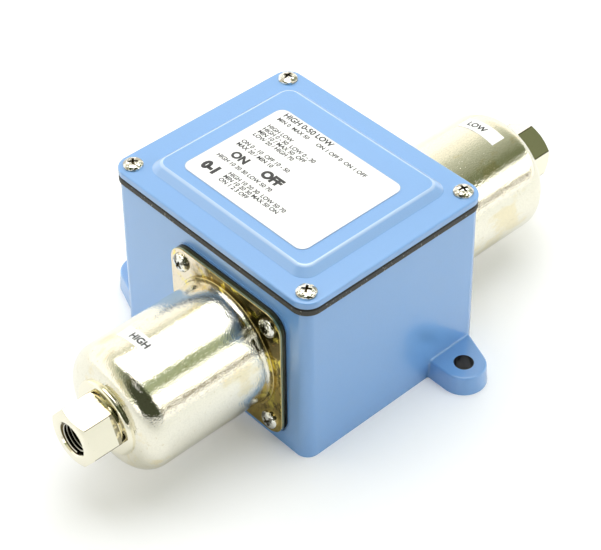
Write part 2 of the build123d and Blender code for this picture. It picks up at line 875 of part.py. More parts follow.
# Switch bracket: upright plate with a folded foot
with BuildPart() as switch_bracket:
    with BuildSketch(Plane.YZ.offset(bracket_start_x)):
        with Locations((bracket_y + bracket_thickness / 2, (foot_z + bracket_top_z) / 2)):
            Rectangle(bracket_thickness, bracket_top_z - foot_z)
        with Locations((bracket_y + foot_reach / 2, foot_z + bracket_thickness / 2)):
            Rectangle(foot_reach, bracket_thickness)
    extrude(amount=bracket_end_x - bracket_start_x)
    inner_bend = (
        switch_bracket.edges()
        .filter_by(Axis.X)
        .filter_by_position(Axis.Y, bracket_y + fit_gap, bracket_y + foot_reach - fit_gap)
        .filter_by_position(Axis.Z, foot_z + fit_gap, bracket_top_z - fit_gap)
    )
    fillet(inner_bend, foot_bend - bracket_thickness)
    outer_bend = switch_bracket.edges().filter_by(Axis.X).sort_by(Axis.Z)[:2].sort_by(Axis.Y)[0]
    fillet(outer_bend, foot_bend)
    with BuildSketch(Plane.XZ.offset(-(bracket_y + bracket_thickness))):
        with Locations((pivot_x, pivot_z)):
            Circle(pivot_pin_radius)
        with Locations(*[(x, fixing_z) for x in fixing_x]):
            Circle(fixing_hole_radius)
        with Locations(((bracket_start_x + bracket_end_x) / 2, slot_z)):
            SlotOverall(slot_length, slot_height)
    extrude(amount=bracket_thickness, mode=Mode.SUBTRACT)
    with BuildSketch(Plane.XY.offset(foot_z)):
        with Locations(*[(x, foot_screw_y) for x in foot_screw_x]):
            Circle(clear_radius)
    extrude(amount=bracket_thickness, mode=Mode.SUBTRACT)
switch_bracket.part.label = "switch_bracket"
export_step(switch_bracket.part, "parts/switch_bracket.step")

# Bracket screws: two as one node
with BuildPart() as bracket_screws:
    with BuildSketch(Plane.XY.offset(foot_z + bracket_thickness)):
        with Locations(*[(x, foot_screw_y) for x in foot_screw_x]):
            Circle(pan_radius)
    extrude(amount=pan_height)
    fillet(bracket_screws.edges().group_by(Axis.Z)[-1], pan_edge)
    with BuildSketch(Plane.XY.offset(foot_z + bracket_thickness)):
        with Locations(*[(x, foot_screw_y) for x in foot_screw_x]):
            Circle(screw_radius)
    extrude(amount=-(bracket_thickness + foot_hole_depth - screw_end_gap))
bracket_screws.part.label = "bracket_screws"
export_step(bracket_screws.part, "parts/bracket_screws.step")

# Earth screw on its floor boss
with BuildPart() as earth_screw:
    with BuildSketch(Plane.XY.offset(floor + earth_boss_height)):
        with Locations((earth_x, earth_y)):
            Circle(pan_radius)
    extrude(amount=pan_height)
    fillet(earth_screw.edges().group_by(Axis.Z)[-1], pan_edge)
    with BuildSketch(Plane.XY.offset(floor + earth_boss_height)):
        with Locations((earth_x, earth_y)):
            Circle(screw_radius)
    extrude(amount=-(earth_hole_depth - screw_end_gap))
earth_screw.part.label = "earth_screw"
export_step(earth_screw.part, "parts/earth_screw.step")
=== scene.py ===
import json
import math

import bmesh
import bpy
from mathutils import Matrix, Vector


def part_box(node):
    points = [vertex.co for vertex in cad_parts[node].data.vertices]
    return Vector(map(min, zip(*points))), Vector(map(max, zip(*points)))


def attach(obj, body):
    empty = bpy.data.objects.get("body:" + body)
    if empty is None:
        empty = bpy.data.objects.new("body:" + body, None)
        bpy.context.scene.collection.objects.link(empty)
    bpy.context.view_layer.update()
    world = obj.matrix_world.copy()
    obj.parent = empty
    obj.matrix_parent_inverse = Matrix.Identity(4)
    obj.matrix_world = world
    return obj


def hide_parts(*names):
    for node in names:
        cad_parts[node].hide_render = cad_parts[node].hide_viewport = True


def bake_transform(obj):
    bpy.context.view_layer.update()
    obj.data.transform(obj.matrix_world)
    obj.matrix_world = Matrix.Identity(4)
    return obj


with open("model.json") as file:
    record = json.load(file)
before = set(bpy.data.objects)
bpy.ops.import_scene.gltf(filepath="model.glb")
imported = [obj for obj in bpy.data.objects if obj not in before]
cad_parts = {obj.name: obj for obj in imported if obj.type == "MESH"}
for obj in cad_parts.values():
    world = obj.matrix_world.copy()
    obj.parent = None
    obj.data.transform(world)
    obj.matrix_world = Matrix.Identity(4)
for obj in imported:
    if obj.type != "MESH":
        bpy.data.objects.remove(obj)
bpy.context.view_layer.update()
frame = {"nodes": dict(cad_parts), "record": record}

bl_info = {
    "name": "Differential pressure switch",
    "version": (1, 0, 0),
    "blender": (4, 5, 0),
    "location": "3D View > Sidebar > Pressure Switch",
    "description": "Dresses the packed differential pressure switch and lights it in a white studio",
    "category": "Object",
}

SLOTS = {part["node"]: part["material_slot"] for part in frame["record"]["subparts"]}
FINISHES = {}

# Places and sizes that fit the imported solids

MM = 0.001
AXIS_Y = -12.7 * MM
AXIS_Z = 35.5 * MM
SIDES = {"high": -1, "low": 1}
SEAT_TOP = 79.6 * MM
COVER_UNDERSIDE = 76.9 * MM
PLATEAU_TOP = 82.6 * MM
EAR_X = 28.9 * MM
EAR_Y = 64.4 * MM
EAR_HOLE = 4.02 * MM
BOSS_RADIUS = 10.2 * MM
HEX_CORNER = 12.7 * MM
HEX_ROOT = (107.6 * MM, 109.6 * MM)
BORE_EDGE = 6.9 * MM
BORE_START = 121.0 * MM
COVER_SCREWS = [(x * MM, y * MM) for x in (-39.9, 39.9) for y in (-48.5, 48.5)]
FLANGE_SCREW_OFFSET = 24.1 * MM
FLANGE_RING = 1.0 * MM
PAN_HEIGHT = 2.1 * MM
SHANK_RADIUS = 2.05 * MM
SHANK_LENGTH = 6 * MM
SHEET_CORNER = 4.0 * MM
TAG_RADIUS = 26.17 * MM

# Threads: radius at the root, height of the ridge, where it starts, turns and steps in a turn

PORT_WALL = 6.62 * MM
PORT_RIDGE = 0.95 * MM
PORT_DEPTH = 13.4 * MM
PORT_TURNS = 8.8
PORT_STEPS = 60
ENTRY_WALL = 10.02 * MM
ENTRY_RIDGE = 1.1 * MM
ENTRY_START = (0, 41.0 * MM, 36.0 * MM)
ENTRY_TURNS = 7.0
ENTRY_STEPS = 72
CREST_BAND = 0.2 * MM

# Shading, joins and the thickness of the print

SHADE_ANGLE = math.radians(32)
THREAD_ANGLE = math.radians(23)
WELD_GAP = 2e-6
MASK_EDGE = 0.1 * MM
SHEET_RIM = 0.3 * MM
PRINT_ROOM = 0.02 * MM
PRINT_DROP = 0.012 * MM

# Pan heads: steps round and over the dome, height of the rim as a share of the head's, width of a
# wing as a share of the recess's, and shares of length, width and height at the recess's ends

HEAD_STEPS = 64
DOME_STEPS = 10
RIM_SHARE = 0.22
WING_SHARE = 0.22
RECESS_FOOT = (0.45, 0.8, 0.25)
RECESS_MOUTH = (1.0, 1.0, 1.2)

# How far each screw is turned, in degrees

SCREW_TURNS = {"cover": (38, 52, 75, 12), "high": (20, 64, 41, 83), "low": (55, 10, 72, 33)}

# Letters: capital's share of the font's size, weight of the tags' words and width of a slice

CAPITAL_SHARE = 0.7
TAG_WEIGHT = 0.05
LETTER_SLICE = 0.5 * MM

# Print: words, height in mm, weight, start along Y and foot along X in mm

PLATE_ROWS = (
    ("HIGH 0-50 LOW", 2.6, 0.05, 29.0, 19.4),
    ("MIN 0  MAX 50", 1.85, 0.05, 29.0, 16.1),
    ("ON 1 OFF 0  ON 1 OFF", 1.85, 0.05, 7.0, 16.1),
    ("HIGH LOW", 1.9, 0.05, 28.4, 10.4),
    ("HIGH 0 - 50  LOW 0 - 30", 1.9, 0.05, 28.4, 7.9),
    ("MIN 10 / MAX 50  OFF", 1.9, 0.05, 28.4, 5.4),
    ("LOW 20 / HIGH 70", 1.9, 0.05, 28.4, 2.9),
    ("ON 0 - 10  OFF 10 - 50", 1.9, 0.05, 28.4, -3.0),
    ("MAX 20 / MIN 10", 1.9, 0.05, 28.4, -5.5),
    ("ON", 3.6, 0.08, 25.0, -11.6),
    ("OFF", 4.0, 0.1, 8.4, -11.2),
    ("HIGH 10 20 30 LOW 50 70", 1.85, 0.05, 28.6, -15.3),
    ("0-1", 4.2, 0.12, 28.0, -23.6),
    ("HIGH 10 20 30  LOW 50 70", 1.85, 0.05, 17.0, -19.6),
    ("MIN 10 20 30 MAX 50 ON", 1.85, 0.05, 17.0, -22.0),
    ("ON 1 2 3 OFF", 1.85, 0.05, 17.0, -24.4),
)

# Side names on the tags: turn from the front in degrees, foot along X in mm

TAG_MARKS = {"high": (77.3, -88.4), "low": (72.5, 89.3)}

# Colours: screw plating and its painted dark reflections

SCREW_PLATINGS = {
    "screw_steel": ((0.88, 0.87, 0.82), (0.4, 0.37, 0.29)),
    "gold_steel": ((0.93, 0.92, 0.86), (0.09, 0.085, 0.06)),
}

# Colours: light clouds, painted dark reflection, painted pale reflection at the back corner, painted
# highlight on the cut edge and painted glints

CHROMATES = {
    "olive_chromate": (
        (0.09, 0.065, 0.02), (0.02, 0.016, 0.008), (0.2, 0.17, 0.09), (0.13, 0.1, 0.04),
        (0.3, 0.24, 0.07),
    ),
    "gold_chromate": (
        (0.55, 0.40, 0.10), (0.08, 0.06, 0.01), (0.97, 0.87, 0.70), (0.62, 0.52, 0.26),
        (0.95, 0.80, 0.14),
    ),
}

# Colours and roughness of the plain metals, and colours of the mouldings

PLAIN_METALS = {
    "brass": ((0.80, 0.60, 0.25), 0.25),
    "bellows_brass": ((0.76, 0.56, 0.27), 0.3),
    "bracket_steel": ((0.62, 0.62, 0.6), 0.32),
    "green_steel": ((0.10, 0.42, 0.16), 0.35),
    "rod_steel": ((0.68, 0.68, 0.68), 0.18),
    "spring_steel": ((0.5, 0.5, 0.5), 0.3),
}
MOULDINGS = {"black_moulding": ((0.03, 0.03, 0.03),), "red_moulding": ((0.5, 0.04, 0.03),)}

# Stage, in metres: sheets as reach and height, lamps as place and power

FLOOR_SHEET = (6.0, -0.05 * MM)
FLOOR_GLOW = 0.14
CEILING_SHEET = (9.0, 0.635)
FILL_LAMPS = {"front_fill": ((0.5, -1.6, 0.5), 4.5), "left_fill": ((-1.5, 0.3, 0.5), 4.0)}
FILL_SIZE = 1.0
FILL_AIM = (0, 0, 0.04)

# Viewpoint of the photograph: lens and sensor in mm, turn, tilt and roll in degrees, place in
# metres

CAMERA_LENS = 107.3
CAMERA_SENSOR = 36.0
CAMERA_ANGLES = (-42.304, 42.715, -0.61)
CAMERA_PLACE = (-0.34973, -0.38588, 0.51092)


# Shader building


class Tone:
    """One value in a material. Arithmetic on it adds the Math nodes that work it out."""

    def __init__(self, kit, socket):
        self.kit = kit
        self.socket = socket

    def _with(self, operation, *terms):
        return self.kit.node("ShaderNodeMath", {"operation": operation}, list(terms))

    def __add__(self, other):
        return self._with("ADD", self, other)

    def __radd__(self, other):
        return self._with("ADD", other, self)

    def __sub__(self, other):
        return self._with("SUBTRACT", self, other)

    def __rsub__(self, other):
        return self._with("SUBTRACT", other, self)

    def __mul__(self, other):
        return self._with("MULTIPLY", self, other)

    def __rmul__(self, other):
        return self._with("MULTIPLY", other, self)

    def __truediv__(self, other):
        return self._with("DIVIDE", self, other)

    def __rtruediv__(self, other):
        return self._with("DIVIDE", other, self)

    def above(self, edge, soft):
        """0 below edge - soft, 1 above edge + soft, with a smooth step between."""
        return self.kit.node(
            "ShaderNodeMapRange",
            {"interpolation_type": "SMOOTHSTEP", "clamp": True},
            {"Value": self, "From Min": edge - soft, "From Max": edge + soft},
        )

    def between(self, low, low_soft, high, high_soft):
        """1 from low to high and 0 outside, with a smooth step at each end."""
        return self.above(low, low_soft) * (1 - self.above(high, high_soft))

    def absolute(self):
        return self._with("ABSOLUTE", self)


class Kit:
    """A node tree, the one method that adds a node to it, and the patterns made with it."""

    def __init__(self, tree):
        self.tree = tree
        self.tree.nodes.clear()

    def node(self, kind, settings=None, inputs=None, output=0):
        """Adds a node, sets it, feeds its sockets by place or by name, and gives one output."""
        made = self.tree.nodes.new(kind)
        for key, value in (settings or {}).items():
            setattr(made, key, value)
        pairs = enumerate(inputs) if isinstance(inputs, list) else (inputs or {}).items()
        for key, value in pairs:
            socket = made.inputs[key]
            if isinstance(value, Tone):
                self.tree.links.new(value.socket, socket)
            elif isinstance(value, tuple) and len(value) == 3 and socket.type == "RGBA":
                socket.default_value = (*value, 1)
            else:
                socket.default_value = value
        return Tone(self, made.outputs[output])

    def place(self):
        """Object coordinates of the shaded point, as a vector and as its three parts."""
        point = self.node("ShaderNodeTexCoord", output="Object")
        split = [self.node("ShaderNodeSeparateXYZ", None, [point], out) for out in range(3)]
        return point, split

    def length(self, parts):
        """Length of the vector that three values make."""
        joined = self.node("ShaderNodeCombineXYZ", None, parts)
        return self.node("ShaderNodeVectorMath", {"operation": "LENGTH"}, [joined], 1)

    def noise(self, point, scale, detail=2.0, rough=0.5, stretch=(1, 1, 1)):
        """Noise from 0 to 1 over a point, pulled out along the axes with a small stretch."""
        moved = self.node("ShaderNodeVectorMath", {"operation": "MULTIPLY"}, [point, stretch])
        return self.node(
            "ShaderNodeTexNoise",
            None,
            {"Vector": moved, "Scale": scale, "Detail": detail, "Roughness": rough},
        )

    def mix(self, factor, first, second):
        """Colour mix of two colours or colour sockets."""
        return self.node(
            "ShaderNodeMix", {"data_type": "RGBA"}, {0: factor, 6: first, 7: second}, 2
        )


class Finish(Kit):
    """A material with one Principled shader, whose plain numbers sit on its own sockets."""

    def __init__(self, name, **plain):
        self.material = bpy.data.materials.new(name)
        self.material.use_nodes = True
        super().__init__(self.material.node_tree)
        self.shader = self.tree.nodes.new("ShaderNodeBsdfPrincipled")
        out = self.tree.nodes.new("ShaderNodeOutputMaterial")
        self.tree.links.new(self.shader.outputs[0], out.inputs[0])
        for key, value in plain.items():
            self.put(key.replace("_", " ").title().replace("Ior", "IOR"), value)

    def put(self, name, value):
        """Feeds one socket of the shader with a plain value or a link."""
        socket = self.shader.inputs[name]
        if isinstance(value, Tone):
            self.tree.links.new(value.socket, socket)
        elif isinstance(value, tuple):
            socket.default_value = (*value, 1)
        else:
            socket.default_value = value
        return self

    def bump(self, height, strength, distance):
        """Raises the surface with a pattern, by up to a distance in metres."""
        feed = {"Strength": strength, "Distance": distance, "Height": height}
        return self.put("Normal", self.node("ShaderNodeBump", None, feed))


# Finishes


def blue_paint(colour):
    """Glossy powder coat with a faint grain, painted paler as a highlight on the plateau's slope and
    lip, and painted near-black as shade in the ear holes.
    """
    paint = Finish(
        "blue_paint", roughness=0.3, specular_ior_level=1.0, coat_weight=1.0, coat_roughness=0.12
    )
    point, (x, y, z) = paint.place()
    cloud = paint.noise(point, 28, 3, 0.55)
    deep = tuple(c * 0.94 for c in colour)
    tint = paint.mix(cloud, deep, colour)
    # Painted highlight: the plateau's slope is made paler, and its lip paler still.
    below_top = 1 - z.above(PLATEAU_TOP - 0.015 * MM, 0.01 * MM)
    lip_highlight = z.above(PLATEAU_TOP - 0.6 * MM, 0.3 * MM) * 0.4
    slope_highlight = z.above(SEAT_TOP + 0.08 * MM, 0.03 * MM) * 0.2
    tint = paint.mix((lip_highlight + slope_highlight) * below_top, tint, (0.62, 0.76, 0.95))
    # Painted shade: the paint turns near-black inside the ear holes.
    from_hole = [x.absolute() - EAR_X, y.absolute() - EAR_Y, 0.0]
    outside = paint.length(from_hole).above(EAR_HOLE, 0.03 * MM)
    paint.put("Base Color", paint.mix(outside, (0.006, 0.006, 0.009), tint))
    paint.bump(paint.noise(point, 1300, 2, 0.6), 0.12, 0.0004)
    return paint.material


def black_rubber():
    """Black flange gasket with a fine grain."""
    rubber = Finish("black_rubber", roughness=0.6)
    point, _ = rubber.place()
    speck = rubber.noise(point, 900, 3, 0.7)
    rubber.put("Base Color", rubber.mix(speck, (0.006, 0.006, 0.005), (0.03, 0.028, 0.024)))
    rubber.bump(speck, 0.3, 0.0002)
    return rubber.material


def gasket_rubber():
    """Grey cover gasket with pale specks, painted black near its top as the shadow under the cover's
    edge.
    """
    rubber = Finish("gasket_rubber", roughness=0.7)
    point, (_, _, z) = rubber.place()
    speck = rubber.noise(point, 900, 3, 0.7)
    grey = rubber.mix(speck.above(0.66, 0.06), (0.05, 0.048, 0.042), (0.4, 0.39, 0.35))
    # Painted shadow: the gasket turns black near its top, under the cover's edge.
    cover_shadow = z.above(COVER_UNDERSIDE - 1.05 * MM, 0.15 * MM)
    rubber.put("Base Color", rubber.mix(cover_shadow, grey, (0.004, 0.004, 0.004)))
    rubber.bump(speck, 0.3, 0.0002)
    return rubber.material


def label_film(name, colour):
    """Smooth printed film with a faint cloud."""
    film = Finish(name, roughness=0.42, coat_weight=0.25, coat_roughness=0.15)
    point, _ = film.place()
    dull = tuple(c * 0.97 for c in colour)
    film.put("Base Color", film.mix(film.noise(point, 60, 2), colour, dull))
    return film.material


def print_ink(name, colour):
    """Ink with small worn spots."""
    ink = Finish(name, roughness=0.5)
    point, _ = ink.place()
    wear = ink.noise(point, 1800, 2, 0.6).above(0.66, 0.1)
    ink.put("Base Color", ink.mix(wear, colour, tuple(c * 1.8 + 0.06 for c in colour)))
    return ink.material


def plain_metal(name, colour, roughness, stain=0.15):
    """Bare or plated metal with soft darker clouds."""
    metal = Finish(name, metallic=1.0)
    point, _ = metal.place()
    cloud = metal.noise(point, 160, 3, 0.6)
    metal.put("Base Color", metal.mix(cloud * stain * 2.0, colour, tuple(c * 0.72 for c in colour)))
    metal.put("Roughness", cloud * 0.14 + (roughness - 0.07))
    metal.bump(metal.noise(point, 1400, 2, 0.6), 0.06, 0.0003)
    return metal.material


def screw_plate(name, colour, dark):
    """Bright plating with a rippled surface, as on pressed screw heads, and dark patches that are
    painted reflections.
    """
    plate = Finish(name, metallic=1.0)
    point, _ = plate.place()
    reflection_patch = plate.noise(point, 420, 2, 0.5)
    # Painted reflection: noise patches turn the plating dark, as if it mirrored dark surroundings.
    plate.put("Base Color", plate.mix(reflection_patch.above(0.53, 0.05) * 0.85, colour, dark))
    plate.put("Roughness", reflection_patch * 0.08 + 0.03)
    plate.bump(plate.noise(point, 560, 1, 0.5), 0.8, 0.0008)
    return plate.material


def zinc_plate(colour, stain_colour):
    """Pale yellow plating on the cans: grain, soft streaks and yellow spots."""
    zinc = Finish("zinc_plate", metallic=1.0)
    point, _ = zinc.place()
    streak = zinc.noise(point, 120, 3, 0.6, (0.12, 1, 1))
    grain = zinc.noise(point, 1750, 1, 0.6)
    blotch = zinc.noise(point, 75, 4, 0.62, (0.6, 1, 1)).above(0.59, 0.06)
    fine = zinc.noise(point, 420, 3, 0.7).above(0.66, 0.04)
    tint = zinc.mix(streak.above(0.5, 0.3) * 0.4, colour, tuple(c * 0.92 for c in colour))
    tint = zinc.mix(blotch * 0.5, tint, stain_colour)
    tint = zinc.mix(fine * 0.35, tint, tuple(c * 0.7 for c in stain_colour))
    tint = zinc.mix(grain.above(0.55, 0.15) * 0.16, tint, tuple(c * 0.6 for c in colour))
    zinc.put("Base Color", tint)
    zinc.put("Roughness", grain * 0.04 + 0.02)
    zinc.bump(grain, 0.7, 0.0001)
    return zinc.material


def port_steel(colour, bore_shade):
    """Plated fitting with dark specks, a painted reflection in gold and dark at the root of its
    hexagon, painted dark lines along the hexagon's corners and painted shade inside its threaded bore.
    """
    steel = Finish("port_steel", metallic=1.0)
    point, (x, y, z) = steel.place()
    radius = steel.length([0.0, y - AXIS_Y, z - AXIS_Z])
    out = x.absolute()
    # Painted shade: the threaded bore is coloured dark.
    inside = (1 - radius.above(BORE_EDGE, MASK_EDGE)) * (1 - out.above(BORE_START, MASK_EDGE))
    cloud = steel.noise(point, 160, 3, 0.6)
    speck = steel.noise(point, 900, 3, 0.7).above(0.72, 0.03)
    outside = steel.mix(speck * 0.7, colour, (0.2, 0.17, 0.1))
    # Painted reflection: gold and dark patches at the root of the hexagon stand in for the hexagon
    # mirrored in the boss.
    reflection_patch = steel.noise(point, 330, 2, 0.6).above(0.5, 0.06)
    root_reflection = steel.mix(reflection_patch, (0.16, 0.12, 0.03), (0.8, 0.68, 0.34))
    hexagon = out.above(HEX_ROOT[0], 0.03 * MM) * radius.above(BOSS_RADIUS, MASK_EDGE)
    root = (1 - out.above(HEX_ROOT[1], 0.15 * MM)) * hexagon
    outside = steel.mix(root * 0.7, outside, root_reflection)
    # Painted shade: dark lines along the hexagon's corners.
    corner = radius.above(HEX_CORNER - 0.15 * MM, 0.05 * MM) * hexagon
    outside = steel.mix(corner * 0.8, outside, (0.12, 0.1, 0.06))
    steel.put("Base Color", steel.mix(inside, outside, bore_shade))
    steel.put("Roughness", cloud * 0.12 + 0.04)
    steel.bump(steel.noise(point, 1100, 2, 0.6), 0.1, 0.0003)
    return steel.material


def chromate(name, light, dark, cream, edge, glow):
    """Yellow chromate on sheet steel: gold and brown clouds, a painted dark reflection over the upper
    front with painted yellow glints in it, a painted pale reflection towards the back corner and a
    painted highlight on the cut edges.
    """
    plate = Finish(name, metallic=1.0)
    point, (_, y, z) = plate.place()
    back = (y - AXIS_Y) / (30 * MM)
    high = (z - AXIS_Z) / (30 * MM)
    cloud = plate.noise(point, 70, 4, 0.65)
    film = plate.noise(point, 230, 4, 0.7)
    # Painted reflection: the plate turns cream towards the back corner.
    pale = (back + high * 0.25 + (cloud - 0.5) * 1.4).above(0.66, 0.2)
    # Painted reflection: the plate turns dark over its upper front, broken up by clouds.
    shade = (high * 0.55 - back * 0.3 + (film - 0.5) * 2.2 + (cloud - 0.5) * 1.8).above(0.1, 0.2)
    tint = plate.mix(film.above(0.5, 0.16), light, tuple(c * 0.7 for c in light))
    tint = plate.mix(shade * 0.85, tint, dark)
    tint = plate.mix(pale * 0.85, tint, cream)
    # Painted highlight: yellow glints inside the dark reflection.
    glint = plate.noise(point, 170, 3, 0.6).above(0.58, 0.05)
    tint = plate.mix(glint * shade * 0.8, tint, glow)
    rust = plate.noise(point, 520, 3, 0.7).above(0.66, 0.04)
    tint = plate.mix(rust * 0.6, tint, (0.42, 0.2, 0.06))
    # Painted highlight: the cut edges, whose normals do not face along X, take the brighter edge
    # colour.
    normal = plate.node("ShaderNodeNewGeometry", output="True Normal")
    facing = plate.node("ShaderNodeSeparateXYZ", None, [normal]).absolute()
    plate.put("Base Color", plate.mix(facing.above(0.8, 0.1), edge, tint))
    plate.put("Roughness", film * 0.16 + 0.04)
    plate.bump(film, 0.16, 0.0005)
    return plate.material


def moulding(name, colour, roughness=0.42):
    """Satin plastic with a fine grain."""
    plastic = Finish(name)
    point, _ = plastic.place()
    grain = plastic.noise(point, 800, 2, 0.5)
    plastic.put("Base Color", plastic.mix(grain, colour, tuple(c * 0.8 for c in colour)))
    plastic.put("Roughness", grain * 0.1 + roughness)
    return plastic.material


# Mesh building


def side_frame(side, distance):
    """Place on the pressure axis: local Z points outward, local Y is up."""
    turned = Matrix(((0, 0, side), (side, 0, 0), (0, 1, 0))).to_4x4()
    return Matrix.Translation((side * distance, AXIS_Y, AXIS_Z)) @ turned


def new_object(name, bm):
    """An object in the scene that takes over a bmesh."""
    mesh = bpy.data.meshes.new(name)
    bm.to_mesh(mesh)
    bm.free()
    made = bpy.data.objects.new(name, mesh)
    bpy.context.scene.collection.objects.link(made)
    return made


def line(bm, points, closed=False):
    """A line of vertices in the XZ plane from (radius, height) pairs, open or closed."""
    verts = [bm.verts.new((r, 0, h)) for r, h in points]
    edges = [bm.edges.new(pair) for pair in zip(verts, verts[1:])]
    if closed:
        edges.append(bm.edges.new((verts[-1], verts[0])))
    return verts + edges


def spun(points, steps):
    """A solid of revolution about Z from an outline that starts and ends on the axis."""
    bm = bmesh.new()
    geom = line(bm, points)
    bmesh.ops.spin(
        bm, geom=geom, cent=(0, 0, 0), axis=(0, 0, 1), angle=math.tau, steps=steps, use_merge=True
    )
    bmesh.ops.remove_doubles(bm, verts=bm.verts, dist=1e-7)
    bmesh.ops.recalc_face_normals(bm, faces=bm.faces)
    return bm


def coil(points, pitch, turns, steps_per_turn, matrix):
    """A closed outline wound along Z, with closed ends; its crest's upper faces take material 1."""
    bm = bmesh.new()
    geom = line(bm, points, closed=True)
    steps = int(turns * steps_per_turn)
    bmesh.ops.spin(
        bm,
        geom=geom,
        cent=(0, 0, 0),
        axis=(0, 0, 1),
        dvec=(0, 0, pitch / steps_per_turn),
        angle=math.tau * turns,
        steps=steps,
        use_merge=False,
    )
    bmesh.ops.holes_fill(bm, edges=[e for e in bm.edges if e.is_boundary])
    bmesh.ops.recalc_face_normals(bm, faces=bm.faces)
    crest = min(radius for radius, _ in points) + CREST_BAND
    for face in bm.faces:
        face.normal_update()
        at_crest = face.calc_center_median().xy.length < crest
        face.material_index = int(at_crest and face.normal.z > 0.2)
    bmesh.ops.transform(bm, matrix=matrix, verts=bm.verts)
    return bm


def piece(name, bm, materials, body="case", angle=SHADE_ANGLE):
    """Turns a bmesh into a shaded piece that rides on a body."""
    made = new_object(name, bm)
    made.data.shade_smooth()
    made.data.set_sharp_from_angle(angle=angle)
    for material in materials:
        made.data.materials.append(material)
    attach(made, body)
    return made


def pour(target, bm):
    """Adds the faces of one bmesh to another, and frees it."""
    holder = bpy.data.meshes.new("holder")
    bm.to_mesh(holder)
    bm.free()
    target.from_mesh(holder)
    bpy.data.meshes.remove(holder)


def gather(target, source_mesh, matrix):
    """Adds a placed copy of a mesh to a bmesh."""
    copy = bmesh.new()
    copy.from_mesh(source_mesh)
    bmesh.ops.transform(copy, matrix=matrix, verts=copy.verts)
    pour(target, copy)


def cut_away(bm, cutter_bm):
    """What is left of one bmesh when another is cut from it."""
    blank, cutter = (new_object("cut_part", part) for part in (bm, cutter_bm))
    cut = blank.modifiers.new("recess", "BOOLEAN")
    cut.object = cutter
    cut.solver = "EXACT"
    shown = blank.evaluated_get(bpy.context.evaluated_depsgraph_get())
    mesh = bpy.data.meshes.new_from_object(shown)
    left = bmesh.new()
    left.from_mesh(mesh)
    for used in (mesh, blank.data, cutter.data):
        bpy.data.meshes.remove(used)
    return left


def pan_head(diameter, height, recess, shank_radius, shank_length):
    """A pan-head screw about Z, seated at Z = 0; faces of its cross recess take material 1."""
    r = diameter / 2
    rim = height * RIM_SHARE
    steps = [math.sin(math.pi / 2 * step / DOME_STEPS) for step in range(DOME_STEPS + 1)]
    outline = [(r * step, rim + (height - rim) * math.sqrt(1 - step * step)) for step in steps]
    outline += [(r, 0), (shank_radius, 0)]
    outline += [(shank_radius, -shank_length), (0, -shank_length)]
    head = spun(outline, HEAD_STEPS)
    wing = recess * WING_SHARE
    for turn in (0, 90):
        cutter = bmesh.new()
        for v in bmesh.ops.create_cube(cutter, size=1)["verts"]:
            along, across, up = RECESS_FOOT if v.co.z < 0 else RECESS_MOUTH
            v.co.x *= recess * along
            v.co.y *= wing * across
            v.co.z = height * up
        place = Matrix.Rotation(math.radians(turn), 3, "Z")
        bmesh.ops.rotate(cutter, verts=cutter.verts, matrix=place)
        head = cut_away(head, cutter)
    for face in head.faces:
        middle = face.calc_center_median()
        across = math.hypot(middle.x, middle.y)
        side = face.normal.z < 0.93 and across < recess * 0.52
        bottom = across < recess * 0.3 and middle.z < height * 0.6
        face.material_index = int((side or bottom) and middle.z > 0)
    mesh = bpy.data.meshes.new("pan_head")
    head.to_mesh(mesh)
    head.free()
    return mesh


def on_plate(start, foot, top):
    """Place on the nameplate of a point that lies along and up a row of print."""
    return lambda along, up: Vector((foot + up, start - along, top))


def on_tag(start, foot):
    """Place on a tag round the can of a point that lies along and up its word."""

    def place(along, up):
        turn = math.radians(start) + along / TAG_RADIUS
        across = AXIS_Y + TAG_RADIUS * math.cos(turn)
        return Vector((foot + up, across, AXIS_Z + TAG_RADIUS * math.sin(turn)))

    return place


def lettering(body, height, weight, place):
    """A bmesh of letters, sliced so that they follow a curve, each point put in place."""
    font = bpy.data.curves.new("lettering", "FONT")
    font.body = body
    font.size = height / CAPITAL_SHARE
    font.offset = height * weight
    holder = bpy.data.objects.new("lettering", font)
    bpy.context.scene.collection.objects.link(holder)
    shown = holder.evaluated_get(bpy.context.evaluated_depsgraph_get())
    flat = bpy.data.meshes.new_from_object(shown)
    bm = bmesh.new()
    bm.from_mesh(flat)
    bpy.data.objects.remove(holder)
    bpy.data.meshes.remove(flat)
    for cut in range(1, int(max(v.co.x for v in bm.verts) / LETTER_SLICE) + 1):
        geom = bm.verts[:] + bm.edges[:] + bm.faces[:]
        at = (cut * LETTER_SLICE, 0, 0)
        bmesh.ops.bisect_plane(bm, geom=geom, plane_co=at, plane_no=(1, 0, 0))
    for v in bm.verts:
        v.co = place(v.co.x, v.co.y)
    return bm


# Settings


class PaintSettings(bpy.types.PropertyGroup):
    case_colour: bpy.props.FloatVectorProperty(
        name="Case colour", description="Powder coat on the case and cover",
        default=(0.16, 0.375, 0.76), subtype="COLOR", min=0, max=1,
    )
    zinc_colour: bpy.props.FloatVectorProperty(
        name="Can colour", description="Plating on the cans",
        default=(0.95, 0.92, 0.80), subtype="COLOR", min=0, max=1,
    )
    stain_colour: bpy.props.FloatVectorProperty(
        name="Stain colour", description="Yellow stains in the plating",
        default=(0.86, 0.74, 0.42), subtype="COLOR", min=0, max=1,
    )


class ScrewSettings(bpy.types.PropertyGroup):
    head_diameter: bpy.props.FloatProperty(
        name="Head diameter", description="Across the pan heads",
        default=8.0 * MM, unit="LENGTH",
    )
    recess_width: bpy.props.FloatProperty(
        name="Recess width", description="Across the cross recess",
        default=4.7 * MM, unit="LENGTH",
    )


class ThreadSettings(bpy.types.PropertyGroup):
    port_pitch: bpy.props.FloatProperty(
        name="Port pitch", description="Pitch of the port threads",
        default=1.411 * MM, unit="LENGTH",
    )
    entry_pitch: bpy.props.FloatProperty(
        name="Entry pitch", description="Pitch of the cable entry thread",
        default=1.814 * MM, unit="LENGTH",
    )


